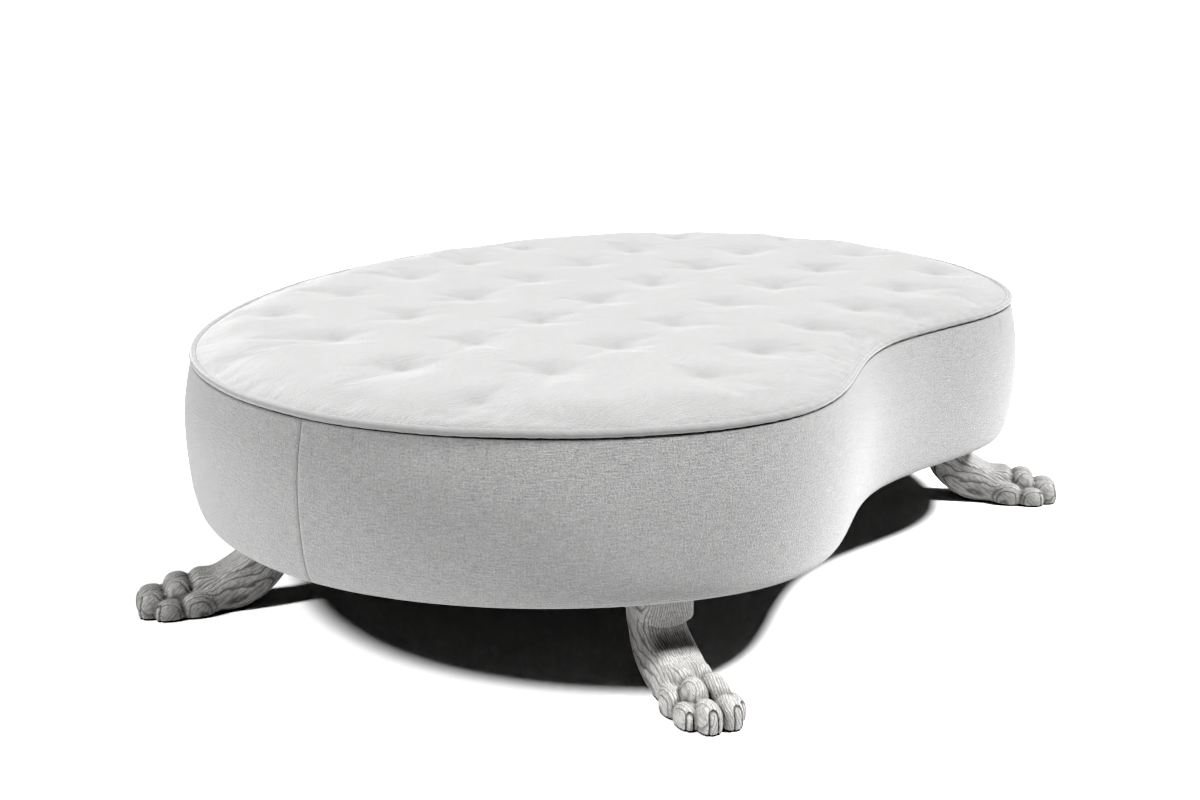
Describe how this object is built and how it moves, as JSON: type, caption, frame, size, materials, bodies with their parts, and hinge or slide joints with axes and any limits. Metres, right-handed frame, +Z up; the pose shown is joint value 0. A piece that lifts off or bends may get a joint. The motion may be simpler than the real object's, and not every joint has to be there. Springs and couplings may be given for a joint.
{
  "type": "upholstered ottoman",
  "caption": "Low kidney-shaped ottoman with a blind-tufted padded top, piped edge, swelling boxing and carved oak lion-paw feet.",
  "frame": {"origin": "on the floor, below the middle of the whole object's box, toes included", "axes": "+X along the length to the right end, +Y to the rounded back away from the hollow front, +Z up"},
  "size_m": [1.5236, 1.1804, 0.3897],
  "materials": {
    "cover_fabric": "brushed velvet pile, matt, pale grey",
    "piping_fabric": "velvet cut on the bias round a cord",
    "boxing_fabric": "velvet with a fine slubby weave, pale grey",
    "cotton_cord": "twisted cotton",
    "wadding_fibre": "polyester wadding",
    "foam": "cut upholstery foam",
    "fibreboard": "bendable board, raw",
    "plywood": "birch plywood, raw",
    "hardwood": "planed hardwood, raw",
    "zinc_steel": "zinc plated",
    "twine": "waxed tufting twine",
    "fibre_washer": "vulcanised fibre",
    "dust_cloth": "black spunbond",
    "carved_oak": "open-grained oak, limed and brushed, matt",
    "felt": "dense black felt"
  },
  "bodies": {
    "root": {"top_cover": "cover_fabric", "welt_cover": "piping_fabric", "welt_cord": "cotton_cord", "band_front": "boxing_fabric", "band_back": "boxing_fabric", "wadding": "wadding_fibre", "top_foam": "foam", "side_foam": "foam", "side_board": "fibreboard", "deck": "plywood", "uprights": "hardwood", "cross_rail_left": "hardwood", "cross_rail_right": "hardwood", "bottom_frame": "plywood", "leg_block_front_left": "hardwood", "leg_block_front_right": "hardwood", "leg_block_back_left": "hardwood", "leg_block_back_right": "hardwood", "hanger_bolts": "zinc_steel", "tee_nuts": "zinc_steel", "frame_screws": "zinc_steel", "tuft_twines": "twine", "tuft_washers": "fibre_washer", "dust_cover": "dust_cloth", "foot_front_left": "carved_oak", "foot_front_right": "carved_oak", "foot_back_left": "carved_oak", "foot_back_right": "carved_oak", "felt_front_left": "felt", "felt_front_right": "felt", "felt_back_left": "felt", "felt_back_right": "felt"}
  },
  "joints": []
}
